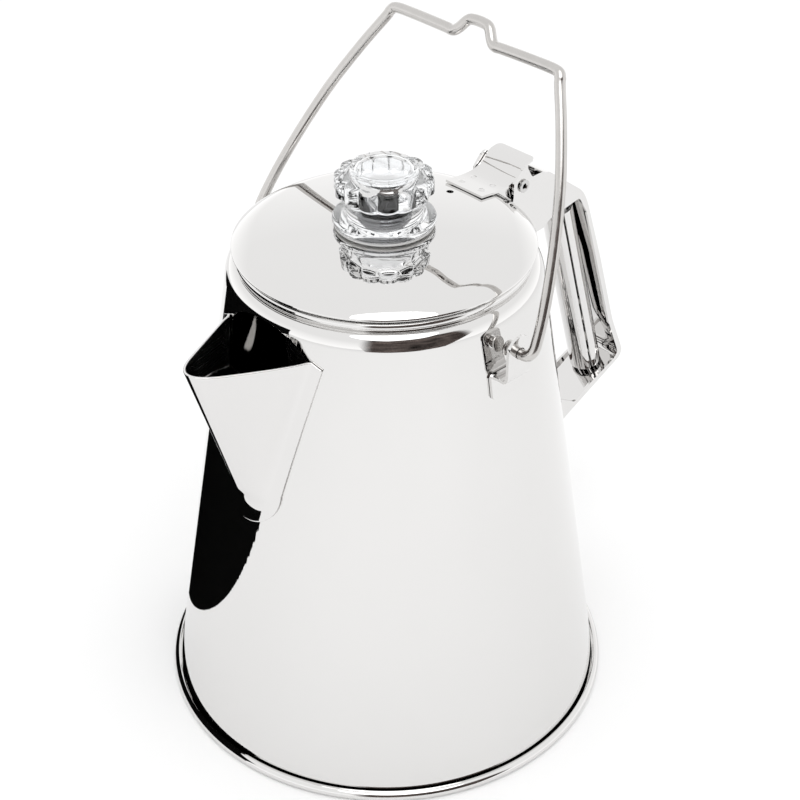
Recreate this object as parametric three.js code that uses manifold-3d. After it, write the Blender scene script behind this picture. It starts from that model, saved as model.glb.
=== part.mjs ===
// Stainless camping percolator: conical pot, V spout, hinged lid with a clear knob, wire bail,
// pressed side handle with a tubular grip, and the pump tube and coffee basket inside.
// Millimetres. The origin is the centre of the base, +Z is up, the spout points to -X,
// the side handle and the lid hinge are on +X, and the bail turns about the Y direction.

import * as THREE from "three";
import { mergeVertices } from "three/addons/utils/BufferGeometryUtils.js";
import { ConvexGeometry } from "three/addons/geometries/ConvexGeometry.js";
import Module from "manifold-3d";

const wasm = await Module();
wasm.setup();

// ---------------------------------------------------------------- driving dimensions
const GAP = 0.3; // between pieces that touch on the real pot
const SHEET = 1.2; // pressed steel sheet
const ROUND = 48; // sides of the large round pieces

// pot wall: a straight cone that ends in a shoulder and a rolled rim
const WALL_LOW = { r: 120.6, z: 5 };
const WALL_TOP = { r: 81.1, z: 259 };
const WALL_FOOT_Z = 1.6;
const RIM = { r: 73.6, z: 268.3, bead: 2.2 };
const NECK = { r: 74.5, z: 266.1 };

// base: flat disc with a rolled seam round it
const BASE_THICK = 1.3;
const SEAM = { r: 122.2, bead: 2.8 };

// spout
const SPOUT_TOP_Z = 248.5;
const SPOUT_NOSE_Z = 255.7;
const SPOUT_LOW_Z = 157;
const SPOUT_TOP = { nose: 129.9, nose_r: 3.7, half: 31 };
const SPOUT_LOW = { nose: 98.6, nose_r: 6, half: 14 };
const FLANGE = 5.5; // weld flange beside the spout
const WINDOW_LOW_Z = 224; // pouring window in the wall behind the spout
const WINDOW_TOP_Z = 261;
const STRAINER = { r: 1.9, pitch: 9, rows: 5, low_z: 172 };

// lid
const LID_R = 77.3;
const LID_CROWN = 283.4; // top of the dome
const LID_DOME_R = 504.5; // radius of the dome
const LID_EDGE = 4.2; // radius of the rounded edge
const HEM_Z = 272.3;
const SLEEVE = { r: 70.2, low_z: 262, top_z: 276.9, lip_r: 60, sheet: 1 };
const VENT = { x: 50.2, y: 3.2, r: 1.9 };

// lid hinge: leaf on the lid, ears inside the handle's cheeks, tubular pin
const HINGE = { x: 86.8, z: 277.7 };
const LEAF = {
  front_x: 57, front_z: 280.5, seat_x: 70, seat_z: 279.05, half: 13, sheet: 1.2,
  rise_x: 80, bend_x: 91, bend_z: 287.2, tip_x: 98, tip_z: 288.2,
};
const PIN = { r: 2.6, bore: 1.4, head: 3.6, half: 16.2, head_thick: 0.9 };
const PIN_HOLE = 2.9;

// knob
const COLLAR = { r_in: 12, r_out: 13.9, low_z: 280.2, top_z: 292.8, flange_r: 18, flange_thick: 1.3 };
const WASHER = { r_in: 14.6, r_out: 25.5, low_z: 283.5, thick: 1.5 };
const KNOB = { low_z: 285.35, flange_r: 26.3, neck_r: 19.8, lobe_r: 25, valley_r: 22.6, lobes: 14 };
const KNOB_RING = { low_z: 301, top_z: 311 };
const KNOB_TOP = { r: 16, z: 315.3 };

// bail
const BAIL_Z = 249; // pivot height
const BAIL_TILT = 28.4; // degrees from upright, towards the handle
const WIRE_R = 2.8;
const BAIL = { leg_y: 100, head_y: 86.4, corner_y: 56.3, bar: 129.8, hump: 8.3, hump_half: 11.3 };
const BRACKET = {
  half: 11.25, low_z: 223.4, top_z: 237, lug_y: 93.8, lug_half: 8, ledge_z: 233.4, lug_top: 258.5,
};
const BRACKET_SHEET = 1.6;
const BRACKET_HOLE = 3.3;

// side handle: one channel pressed from sheet, its web outside and its flanges facing the pot
const HANDLE_HALF = 14.9;
const HANDLE_SHEET = 1.5;
const GRIP = { r: 9.2, sheet: 1.2, low: [167.6, 124.9], top: [132.1, 243], seam: 22, slit: 1.2 };

// pump, basket and spreader
const TUBE = { r: 4, bore: 3.2, low_z: 9, top_z: 281 };
const FOOT = { r: 34, sheet: 1, neck_top: 46, cone_top: 36, rim_z: 6.5, notch: 5 };
const STOP = { z: 158, height: 7, r: 8.5 };
const BASKET = { low_r: 49.5, top_r: 52.5, low_z: 170, top_z: 246, sheet: 1, bead: 1.5 };
const HUB = { r_in: 4.4, r_out: 5.6, top_z: 243 };
const SPREADER = { r: 53.4, thick: 1, z: 249.4, tube_r: 5.1, tube_top: 257 };

// ---------------------------------------------------------------- looks
const steel = (roughness = 0.08) =>
  new THREE.MeshStandardMaterial({ color: 0xdcddde, roughness, metalness: 1 });
const dullSteel = () => steel(0.28);
const clearPlastic = () =>
  new THREE.MeshStandardMaterial({
    color: 0xf3f6f8,
    roughness: 0.05,
    metalness: 0,
    transparent: true,
    opacity: 0.4,
  });
const silicone = () => new THREE.MeshStandardMaterial({ color: 0xe9e9e6, roughness: 0.45, metalness: 0 });

// ---------------------------------------------------------------- helpers
const radians = THREE.MathUtils.degToRad;

// closed solid from a three.js geometry
function solid(geometry) {
  const bare = geometry.index ? geometry.toNonIndexed() : geometry.clone();
  for (const name of Object.keys(bare.attributes)) {
    if (name !== "position") bare.deleteAttribute(name);
  }
  const merged = mergeVertices(bare, 1e-4);
  const triVerts = Uint32Array.from(merged.index.array);
  const kept = [];
  for (let i = 0; i < triVerts.length; i += 3) {
    const [a, b, c] = triVerts.subarray(i, i + 3);
    if (a !== b && b !== c && c !== a) kept.push(a, b, c);
  }
  const vertProperties = Float32Array.from(merged.attributes.position.array);
  return new wasm.Manifold(new wasm.Mesh({ numProp: 3, vertProperties, triVerts: Uint32Array.from(kept) }));
}

// three.js geometry from a closed solid
function geometryOf(manifold) {
  const mesh = manifold.getMesh();
  const geometry = new THREE.BufferGeometry();
  geometry.setAttribute("position", new THREE.BufferAttribute(Float32Array.from(mesh.vertProperties), 3));
  geometry.setIndex(new THREE.BufferAttribute(Uint32Array.from(mesh.triVerts), 1));
  geometry.computeVertexNormals();
  return geometry;
}

const union = (first, ...others) => others.reduce((sum, next) => sum.add(next), first);

// ring or disc turned about Z from an outline of [radius, height] points, listed anticlockwise;
// the outline is closed on itself unless it starts and ends on the axis
function turned(outline, sides = ROUND) {
  const onAxis = outline[0][0] === 0 && outline[outline.length - 1][0] === 0;
  const loop = onAxis ? outline : [...outline, outline[0]];
  const points = loop.map(([r, z]) => new THREE.Vector2(r, z));
  return solid(new THREE.LatheGeometry(points, sides).rotateX(Math.PI / 2));
}

// points of an arc in an outline, angles in degrees from the first axis
function arc(cx, cy, r, from, to, steps) {
  return Array.from({ length: steps + 1 }, (_, i) => {
    const a = radians(from + ((to - from) * i) / steps);
    return [cx + r * Math.cos(a), cy + r * Math.sin(a)];
  });
}

const shapeOf = (points) => new THREE.Shape(points.map(([x, y]) => new THREE.Vector2(x, y)));

// plate with an X-Z outline, between two places along Y
function plateXZ(points, yLow, yHigh) {
  const geometry = new THREE.ExtrudeGeometry(shapeOf(points), { depth: yHigh - yLow, bevelEnabled: false });
  return solid(geometry.rotateX(Math.PI / 2).translate(0, yHigh, 0));
}

// plate with a Y-Z outline, between two places along X
function plateYZ(points, xLow, xHigh) {
  const geometry = new THREE.ExtrudeGeometry(shapeOf(points), { depth: xHigh - xLow, bevelEnabled: false });
  return solid(geometry.rotateX(Math.PI / 2).rotateZ(Math.PI / 2).translate(xLow, 0, 0));
}

function cylinderY(x, z, r, yLow, yHigh, sides = 20) {
  const geometry = new THREE.CylinderGeometry(r, r, yHigh - yLow, sides);
  return solid(geometry.translate(x, (yLow + yHigh) / 2, z));
}

function cylinderZ(x, y, r, zLow, zHigh, sides = 16) {
  const geometry = new THREE.CylinderGeometry(r, r, zHigh - zLow, sides).rotateX(Math.PI / 2);
  return solid(geometry.translate(x, y, (zLow + zHigh) / 2));
}

// outline of a bent strip: the path, then the same path moved sideways by the thickness
function strip(path, thick) {
  const offset = path.map((point, i) => {
    const before = path[Math.max(i - 1, 0)];
    const after = path[Math.min(i + 1, path.length - 1)];
    const along = [after[0] - before[0], after[1] - before[1]];
    const length = Math.hypot(...along);
    return [point[0] - (along[1] / length) * thick, point[1] + (along[0] / length) * thick];
  });
  return [...path, ...offset.reverse()];
}

function piece(name, manifold, material) {
  const mesh = new THREE.Mesh(geometryOf(manifold), material);
  mesh.name = name;
  return mesh;
}

const wallRadius = (z) =>
  WALL_LOW.r + ((WALL_TOP.r - WALL_LOW.r) * (z - WALL_LOW.z)) / (WALL_TOP.z - WALL_LOW.z);

// solid cone that fills the pot out to a distance beyond its wall
function wallFilled(beyond) {
  const low = -10;
  const shoulder = shoulderArc(beyond);
  return turned([[0, low], [wallRadius(low) + beyond, low], ...shoulder, [0, shoulder.at(-1)[1]]]);
}

// shoulder between the cone and the neck
function shoulderArc(beyond) {
  const steps = 5;
  return Array.from({ length: steps + 1 }, (_, i) => {
    const a = radians((90 * i) / steps);
    const r = NECK.r + (WALL_TOP.r - NECK.r) * Math.cos(a);
    const z = WALL_TOP.z + (NECK.z - WALL_TOP.z) * Math.sin(a);
    return [r + beyond * Math.cos(a), z + beyond * Math.sin(a)];
  });
}

// curved sheet on the outside of the wall, cut to a plate's outline
function sheetOnWall(cutter, thick) {
  return wallFilled(GAP + thick).subtract(wallFilled(GAP)).intersect(cutter);
}

// ---------------------------------------------------------------- pot
function basePan() {
  const bead = arc(SEAM.r, SEAM.bead, SEAM.bead, -90, 90, 6);
  const groove = SEAM.r - 0.6;
  return turned([[0, 0], ...bead, [groove, SEAM.bead * 2 - 0.6], [groove, BASE_THICK], [0, BASE_THICK]]);
}

function bodyShell() {
  const outer = [[wallRadius(WALL_FOOT_Z), WALL_FOOT_Z], ...shoulderArc(0)];
  const bead = arc(RIM.r, RIM.z, RIM.bead, -62, 242, 8);
  const inner = [...shoulderArc(-SHEET)].reverse();
  const shell = turned([...outer, ...bead, ...inner, [wallRadius(WALL_FOOT_Z) - SHEET, WALL_FOOT_Z]]);
  return shell.subtract(union(pourWindow(), ...strainerHoles()));
}

// arched opening in the wall behind the spout
function pourWindow() {
  const half = SPOUT_TOP.half - 2.5;
  const straight = SPOUT_TOP_Z - 4;
  const arch = Array.from({ length: 11 }, (_, i) => {
    const a = radians(18 * i);
    return [half * Math.cos(a), straight + (WINDOW_TOP_Z - straight) * Math.sin(a)];
  });
  const sill = half - 4;
  return plateYZ([[-sill, WINDOW_LOW_Z], [sill, WINDOW_LOW_Z], ...arch], -120, -50);
}

// round holes below the window, in staggered rows that narrow towards the bottom
function strainerHoles() {
  const holes = [];
  for (let row = 0; row < STRAINER.rows; row += 1) {
    const count = row < 2 ? 2 + row : 3 + (row % 2);
    for (let i = 0; i < count; i += 1) {
      const y = (i - (count - 1) / 2) * STRAINER.pitch;
      const hole = new THREE.CylinderGeometry(STRAINER.r, STRAINER.r, 60, 6).rotateZ(Math.PI / 2);
      holes.push(solid(hole.translate(-95, y, STRAINER.low_z + row * STRAINER.pitch)));
    }
  }
  return holes;
}

// ---------------------------------------------------------------- spout
// one level of the spout: rounded nose and the two places where its sides reach the wall
function spoutLevel(size, noseZ, wallZ, inset, cutZ) {
  const points = [];
  const r = Math.max(size.nose_r - inset, 0.5);
  for (let a = -80; a <= 80; a += 20) {
    const x = -(size.nose - inset) + r - r * Math.cos(radians(a));
    points.push(new THREE.Vector3(x, r * Math.sin(radians(a)), noseZ));
  }
  const half = size.half - inset;
  const wallX = -Math.sqrt(wallRadius(cutZ) ** 2 - half ** 2);
  for (const side of [-1, 1]) {
    points.push(new THREE.Vector3(wallX, side * half, wallZ));
    points.push(new THREE.Vector3(wallX + 14, side * half, wallZ));
  }
  return points;
}

// hull of the spout, whose rim rises from the wall to the nose; raise lifts the whole rim
function spoutHull(inset, lowZ, raise) {
  const mix = (t, key) => SPOUT_LOW[key] + (SPOUT_TOP[key] - SPOUT_LOW[key]) * t;
  const share = (z, top) => (z - SPOUT_LOW_Z) / (top - SPOUT_LOW_Z);
  const at = (noseZ, wallZ) => ({
    nose: mix(share(noseZ, SPOUT_NOSE_Z), "nose"),
    nose_r: mix(share(noseZ, SPOUT_NOSE_Z), "nose_r"),
    half: mix(share(wallZ, SPOUT_TOP_Z), "half"),
  });
  const noseZ = SPOUT_NOSE_Z + raise;
  const wallZ = SPOUT_TOP_Z + raise;
  return solid(new ConvexGeometry([
    ...spoutLevel(at(lowZ, lowZ), lowZ, lowZ, inset, lowZ),
    ...spoutLevel(at(noseZ, wallZ), noseZ, wallZ, inset, SPOUT_TOP_Z),
  ]));
}

function spout() {
  const inner = spoutHull(SHEET, SPOUT_LOW_Z + SHEET, 9);
  const sides = spoutHull(0, SPOUT_LOW_Z, 0).subtract(inner);
  const topHalf = SPOUT_TOP.half + FLANGE;
  const lowHalf = SPOUT_LOW.half + FLANGE - 2;
  const toe = arc(0, SPOUT_LOW_Z + 5, lowHalf, 0, -180, 8)
    .map(([y, z]) => [y, Math.max(z, SPOUT_LOW_Z - 6.5)])
    .reverse();
  const edge_z = SPOUT_TOP_Z - 3;
  const outline = plateYZ([[-topHalf, edge_z], ...toe, [topHalf, edge_z]], -120, -60);
  const flange = sheetOnWall(outline, SHEET).subtract(inner);
  return union(sides.subtract(wallFilled(GAP)), flange);
}

// ---------------------------------------------------------------- handle
// web of the channel from the hinge end, round the outer strap and back to the wall
const WEB = [
  [103.9, 279.4], [106, 278.9], [108.5, 277.6], [134.6, 257.6],
  [138.2, 254.2], [141.2, 248.6], [144.4, 242.3],
  [156.5, 206], [172.1, 158], [182.4, 134.6], [183.5, 131.2], [183.3, 128.6], [181.4, 126.8], [162, 119.6],
  [134, 105.5], [104, 88.6],
];

// flange edge that faces the pot, from the lower end back up to the hinge
const FLANGE_EDGE = [
  [99, 128], [112, 131], [131, 119.4], [142.5, 112.4],
  [158, 120.6], [176.5, 127.6], [179.6, 130.2], [179.3, 133],
  [168.9, 157], [153.3, 205], [141.3, 241], [134, 253],
  [126, 251.1], [119.4, 250.4], [109.5, 249], [105.5, 245.5],
  [99, 245.2], [78, 240], [78, 268], [79.6, 272], [79.6, 281],
];

// lobe of each cheek round the hinge pin
const LOBE = [[84.4, 286.2], [87, 288], [89.6, 287.4], [93.6, 280.6], [96.4, 279.4]];

function handleChannel() {
  const web = plateXZ(strip(WEB, -HANDLE_SHEET), -HANDLE_HALF, HANDLE_HALF);
  const cheekOutline = [...WEB, ...FLANGE_EDGE, ...LOBE];
  const inside = HANDLE_HALF - HANDLE_SHEET;
  const near = plateXZ(cheekOutline, -HANDLE_HALF, -inside);
  const far = plateXZ(cheekOutline, inside, HANDLE_HALF);
  const tabs = sheetOnWall(
    union(
      plateXZ([[60, 241.5], [95, 241.5], [95, 256.5], [60, 256.5]], -inside - 0.4, inside + 0.4),
      plateXZ([[90, 92], [120, 92], [120, 122], [90, 122]], -inside - 0.4, inside + 0.4),
    ),
    HANDLE_SHEET,
  );
  const pinHole = cylinderY(HINGE.x, HINGE.z, PIN_HOLE, -20, 20);
  return union(web, near, far, tabs).subtract(wallFilled(GAP)).subtract(pinHole);
}

// half of the rolled grip; the two halves meet in a slit on each side
function gripHalf(from, to) {
  const [low, top] = [GRIP.low, GRIP.top];
  const length = Math.hypot(top[0] - low[0], top[1] - low[1]);
  const lean = Math.atan2(low[0] - top[0], top[1] - low[1]);
  const slit = THREE.MathUtils.radToDeg(GRIP.slit / 2 / GRIP.r);
  const outside = arc(0, 0, GRIP.r, from + slit, to - slit, 10);
  const inside = arc(0, 0, GRIP.r - GRIP.sheet, to - slit, from + slit, 10);
  const section = shapeOf([...outside, ...inside]);
  const geometry = new THREE.ExtrudeGeometry(section, { depth: length, bevelEnabled: false });
  return solid(geometry.rotateY(-lean).translate(low[0], 0, low[1]));
}

// ---------------------------------------------------------------- bail and its brackets
function bailBracket() {
  const baseZ = [BRACKET.low_z, BRACKET.top_z];
  const half = BRACKET.half;
  const chamfer = 3;
  const baseOutline = [
    [-half, baseZ[0] + chamfer], [-half + chamfer, baseZ[0]],
    [half - chamfer, baseZ[0]], [half, baseZ[0] + chamfer],
    [half, baseZ[1] - chamfer], [half - chamfer, baseZ[1]],
    [-half + chamfer, baseZ[1]], [-half, baseZ[1] - chamfer],
  ];
  const base = sheetOnWall(plateXZ(baseOutline, -120, -60), BRACKET_SHEET);
  const ledge = BRACKET.ledge_z;
  const profile = [
    [-wallRadius(ledge) + 2, ledge], [-BRACKET.lug_y + 4, ledge], [-BRACKET.lug_y + 1.2, ledge + 0.9],
    [-BRACKET.lug_y, ledge + 3.6], [-BRACKET.lug_y, BRACKET.lug_top],
  ];
  const lugOutline = [
    [-BRACKET.lug_half, 220], [BRACKET.lug_half, 220],
    ...arc(0, BRACKET.lug_top - BRACKET.lug_half, BRACKET.lug_half, 0, 180, 10),
  ];
  const lug = plateYZ(strip(profile, -BRACKET_SHEET), -BRACKET.lug_half, BRACKET.lug_half)
    .intersect(plateXZ(lugOutline, -120, -60));
  return union(base, lug)
    .subtract(wallFilled(GAP))
    .subtract(cylinderY(0, BAIL_Z, BRACKET_HOLE, -110, -85));
}

// wire in the plane of the bail: [sideways, away from the pivots]
function bailPath() {
  const half = [
    [BAIL.head_y, 0], [93, 0], [97.6, 0.5], [99.8, 2.6],
    [100.4, 8], [98.6, 20], [95.2, 35], [88.9, 57], [80, 82],
    [68.9, 106], [59.6, 123.5], [57.9, 127.4], [54.4, BAIL.bar], [40, BAIL.bar + 0.3], [20, BAIL.bar],
    [14.5, BAIL.bar - 0.2], [BAIL.hump_half, BAIL.bar + 1.8], [7.4, BAIL.bar + BAIL.hump - 1.4],
    [3.6, BAIL.bar + BAIL.hump],
  ];
  const other = half.map(([y, s]) => [-y, s]).reverse();
  return [...half, ...other];
}

function bailWire() {
  const points = bailPath().map(([y, s]) => new THREE.Vector3(0, y, s));
  const curve = new THREE.CatmullRomCurve3(points, false, "centripetal");
  const section = shapeOf(arc(0, 0, WIRE_R, 0, 315, 7));
  const swept = { steps: 96, extrudePath: curve, bevelEnabled: false };
  const wire = solid(new THREE.ExtrudeGeometry(section, swept));
  const headHalf = 0.8;
  const heads = [-1, 1].map((side) => {
    const y = side * BAIL.head_y;
    return cylinderY(0, 0, BRACKET_HOLE + 0.9, y - headHalf, y + headHalf, 16);
  });
  return union(wire, ...heads);
}

// ---------------------------------------------------------------- lid
function lidCap() {
  const domeZ = (r) => LID_CROWN - r ** 2 / (2 * LID_DOME_R);
  const edgeR = LID_R - LID_EDGE;
  const edgeZ = domeZ(edgeR) - LID_EDGE;
  const edge = arc(edgeR, edgeZ, LID_EDGE, 90, 0, 5);
  const innerEdge = arc(edgeR, edgeZ, LID_EDGE - SHEET, 0, 90, 5);
  const hem = [
    [LID_R, HEM_Z + 1.2], [LID_R - 0.35, HEM_Z + 0.4], [LID_R - 1.2, HEM_Z], [LID_R - 2.6, HEM_Z],
    [LID_R - 2.6, HEM_Z + 1], [LID_R - 1.4, HEM_Z + 1], [LID_R - SHEET, HEM_Z + 1.4],
  ];
  const hole = COLLAR.r_out + GAP;
  const dome = [hole, 32, 50, 62].map((r) => [r, domeZ(r)]);
  const underDome = dome.map(([r, z]) => [r, z - SHEET]).reverse();
  const cap = turned([...dome, ...edge, ...hem, ...innerEdge, ...underDome].reverse());
  return cap.subtract(cylinderZ(VENT.x, VENT.y, VENT.r, LID_CROWN - 10, LID_CROWN));
}

function lidSleeve() {
  const inner = SLEEVE.r - SLEEVE.sheet;
  const lipUnder = SLEEVE.top_z - SLEEVE.sheet;
  return turned([
    [inner, SLEEVE.low_z], [SLEEVE.r, SLEEVE.low_z], [SLEEVE.r, SLEEVE.top_z], [SLEEVE.lip_r, SLEEVE.top_z],
    [SLEEVE.lip_r, lipUnder], [inner, lipUnder],
  ]);
}

function hingeLeaf() {
  const path = [
    [LEAF.front_x, LEAF.front_z], [LEAF.seat_x, LEAF.seat_z], [LEAF.rise_x - 3, LEAF.seat_z],
    [LEAF.rise_x, LEAF.seat_z + 0.7], [LEAF.bend_x - 3, LEAF.bend_z - 2],
    [LEAF.bend_x, LEAF.bend_z - 0.4], [LEAF.bend_x + 1.5, LEAF.bend_z], [LEAF.tip_x, LEAF.tip_z],
  ];
  const leaf = plateXZ(strip(path, LEAF.sheet), -LEAF.half, LEAF.half);
  const ear = [
    [LEAF.rise_x + 0.5, LEAF.seat_z + 1.6],
    ...arc(HINGE.x, HINGE.z, 5.2, 190, 345, 8), [LEAF.bend_x, HINGE.z + 3],
    [LEAF.bend_x - 0.4, LEAF.bend_z + 0.4], [LEAF.bend_x - 3, LEAF.bend_z - 1.4],
  ];
  const near = plateXZ(ear, -LEAF.half, -LEAF.half + LEAF.sheet);
  const far = plateXZ(ear, LEAF.half - LEAF.sheet, LEAF.half);
  const pinHole = cylinderY(HINGE.x, HINGE.z, PIN_HOLE, -20, 20);
  return union(leaf, near, far).subtract(pinHole);
}

function hingePin() {
  const neck = PIN.half - PIN.head_thick;
  const pin = turned([
    [PIN.bore, -PIN.half], [PIN.head, -PIN.half], [PIN.head, -neck], [PIN.r, -neck], [PIN.r, neck],
    [PIN.head, neck], [PIN.head, PIN.half], [PIN.bore, PIN.half],
  ], 16);
  return pin.rotate([90, 0, 0]).translate([HINGE.x, 0, HINGE.z]);
}

// ---------------------------------------------------------------- knob
function knobCollar() {
  const flangeTop = COLLAR.low_z + COLLAR.flange_thick;
  return turned([
    [COLLAR.r_in, COLLAR.low_z], [COLLAR.flange_r, COLLAR.low_z], [COLLAR.flange_r, flangeTop],
    [COLLAR.r_out, flangeTop], [COLLAR.r_out, COLLAR.top_z], [COLLAR.r_in, COLLAR.top_z],
  ], 32);
}

function knobWasher() {
  const top = WASHER.low_z + WASHER.thick;
  return turned([
    [WASHER.r_in, WASHER.low_z], [WASHER.r_out, WASHER.low_z],
    [WASHER.r_out, top], [WASHER.r_in, top],
  ], 36);
}

function knobDome() {
  const z = KNOB.low_z;
  const outer = [
    [KNOB.flange_r - 1, z], [KNOB.flange_r, z + 0.8],
    [KNOB.flange_r, z + 2.2], [KNOB.flange_r - 1.4, z + 3.6],
    [KNOB.neck_r + 1.6, z + 4.2], [KNOB.neck_r + 0.2, z + 5.6], [KNOB.neck_r, z + 10],
    [KNOB.neck_r + 1.2, KNOB_RING.low_z], [KNOB.valley_r - 0.6, KNOB_RING.top_z],
    [KNOB_TOP.r + 1.2, KNOB_TOP.z - 0.8],
    [KNOB_TOP.r, KNOB_TOP.z], [KNOB_TOP.r - 6, KNOB_TOP.z + 0.5], [0, KNOB_TOP.z + 0.8],
  ];
  const bore = COLLAR.r_out + 0.5;
  const inner = [
    [0, KNOB_TOP.z - 4], [8, KNOB_TOP.z - 5], [12, KNOB_TOP.z - 9.5],
    [13, KNOB_TOP.z - 16], [bore, COLLAR.top_z + 5],
    [bore, z],
  ];
  const dome = turned([...outer, ...inner], 42);
  return union(dome, knobRing());
}

// scalloped grip ring, one lobe every equal angle
function knobRing() {
  const steps = KNOB.lobes * 4;
  const outline = Array.from({ length: steps }, (_, i) => {
    const a = (2 * Math.PI * i) / steps;
    const r = KNOB.valley_r + (KNOB.lobe_r - KNOB.valley_r) * Math.abs(Math.cos((KNOB.lobes * a) / 2));
    return [r * Math.cos(a), r * Math.sin(a)];
  });
  const shape = shapeOf(outline);
  const bore = arc(0, 0, KNOB.neck_r - 1.4, 0, 345, 23);
  shape.holes.push(new THREE.Path(bore.map(([x, y]) => new THREE.Vector2(x, y))));
  const depth = KNOB_RING.top_z - KNOB_RING.low_z;
  const ring = new THREE.ExtrudeGeometry(shape, { depth, bevelEnabled: false });
  return solid(ring.translate(0, 0, KNOB_RING.low_z));
}

// ---------------------------------------------------------------- pump, basket, spreader
function pumpTube() {
  return turned([
    [TUBE.bore, TUBE.low_z], [TUBE.r, TUBE.low_z], [TUBE.r, TUBE.top_z], [TUBE.bore, TUBE.top_z],
  ], 16);
}

function pumpFoot() {
  const bottom = BASE_THICK + GAP;
  const neckIn = TUBE.r + GAP;
  const neckOut = neckIn + FOOT.sheet;
  const bell = turned([
    [FOOT.r - FOOT.sheet, bottom], [FOOT.r, bottom], [FOOT.r, FOOT.rim_z], [neckOut, FOOT.cone_top],
    [neckOut, FOOT.neck_top], [neckIn, FOOT.neck_top], [neckIn, FOOT.cone_top - 0.8],
    [FOOT.r - FOOT.sheet, FOOT.rim_z - 0.8],
  ], 32);
  const slots = [0, 90].map((turn) => {
    const slot = new THREE.BoxGeometry(FOOT.r * 3, FOOT.notch, 3).translate(0, 0, bottom);
    return solid(slot.rotateZ(radians(turn)));
  });
  return bell.subtract(union(...slots));
}

function stopCollar() {
  const inner = TUBE.r + GAP;
  const top = STOP.z + STOP.height;
  return turned([[inner, STOP.z], [STOP.r, STOP.z], [STOP.r, top], [inner, top]], 16);
}

// rings of holes through a flat disc
function holeRings(rings, z, r) {
  return rings.flatMap(([ringR, count]) =>
    Array.from({ length: count }, (_, i) => {
      const a = (2 * Math.PI * i) / count;
      return cylinderZ(ringR * Math.cos(a), ringR * Math.sin(a), r, z - 3, z + 3, 6);
    }),
  );
}

function basketCup() {
  const { low_r, top_r, low_z, top_z, sheet, bead } = BASKET;
  const hole = HUB.r_out + GAP;
  const rim = arc(top_r, top_z + bead, bead, -60, 240, 6);
  const cup = turned([
    [hole, low_z], [low_r - 3, low_z], [low_r - 0.8, low_z + 0.8], [low_r, low_z + 3], ...rim,
    [top_r - sheet, top_z], [low_r - sheet, low_z + 3], [low_r - 3.4, low_z + sheet], [hole, low_z + sheet],
  ], 40);
  return cup.subtract(union(...holeRings([[16, 6], [32, 12]], low_z, 1.8)));
}

function basketHub() {
  const low = STOP.z + STOP.height + GAP;
  return turned([[HUB.r_in, low], [HUB.r_out, low], [HUB.r_out, HUB.top_z], [HUB.r_in, HUB.top_z]], 16);
}

function spreader() {
  const { r, thick, z, tube_r, tube_top } = SPREADER;
  const plate = turned([
    [tube_r, z - 0.8], [tube_r + 1.4, z - 0.8], [30, z - 0.8],
    [46, z], [r, z], [r, z + thick], [46, z + thick],
    [30, z + thick - 0.8], [tube_r + 1, z + thick - 0.8], [tube_r + 1, tube_top], [tube_r, tube_top],
  ], 40);
  return plate.subtract(union(...holeRings([[15, 6], [29, 12]], z, 1.8)));
}

// ---------------------------------------------------------------- assembly
const pot = new THREE.Group();
pot.add(
  piece("base_pan", basePan(), steel(0.15)),
  piece("body_shell", bodyShell(), steel()),
  piece("spout", spout(), steel()),
  piece("handle_channel", handleChannel(), steel()),
  piece("grip_outer_half", gripHalf(-90 - GRIP.seam, 90 + GRIP.seam), steel()),
  piece("grip_inner_half", gripHalf(90 + GRIP.seam, 270 - GRIP.seam), steel()),
  piece("hinge_pin", hingePin(), steel(0.15)),
  piece("bail_bracket_near", bailBracket(), steel()),
);
const farBracket = piece("bail_bracket_far", bailBracket(), steel());
farBracket.rotation.z = Math.PI;
pot.add(farBracket);

const lid = new THREE.Group();
lid.add(
  piece("lid_cap", lidCap(), steel()),
  piece("lid_sleeve", lidSleeve(), dullSteel()),
  piece("lid_hinge_leaf", hingeLeaf(), steel()),
  piece("knob_collar", knobCollar(), steel(0.15)),
  piece("knob_washer", knobWasher(), silicone()),
  piece("knob_dome", knobDome(), clearPlastic()),
);

const bail = new THREE.Group();
bail.add(piece("bail_wire", bailWire(), steel(0.2)));
bail.position.z = BAIL_Z;
bail.rotation.y = radians(BAIL_TILT);

const brewer = new THREE.Group();
brewer.add(
  piece("pump_tube", pumpTube(), dullSteel()),
  piece("pump_foot", pumpFoot(), dullSteel()),
  piece("stop_collar", stopCollar(), dullSteel()),
  piece("basket_cup", basketCup(), dullSteel()),
  piece("basket_hub", basketHub(), dullSteel()),
  piece("spreader", spreader(), dullSteel()),
);

const percolator = new THREE.Group();
percolator.add(pot, lid, bail, brewer);

export default percolator;
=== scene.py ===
"""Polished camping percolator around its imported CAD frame: smooth sheet-metal shells, clear knob, studio.

Outlines are in millimetres in the frame's own axes (+Z up, spout to -X, handle to +X)."""

import math

import bmesh
import bpy
from mathutils import Matrix, Vector

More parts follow.
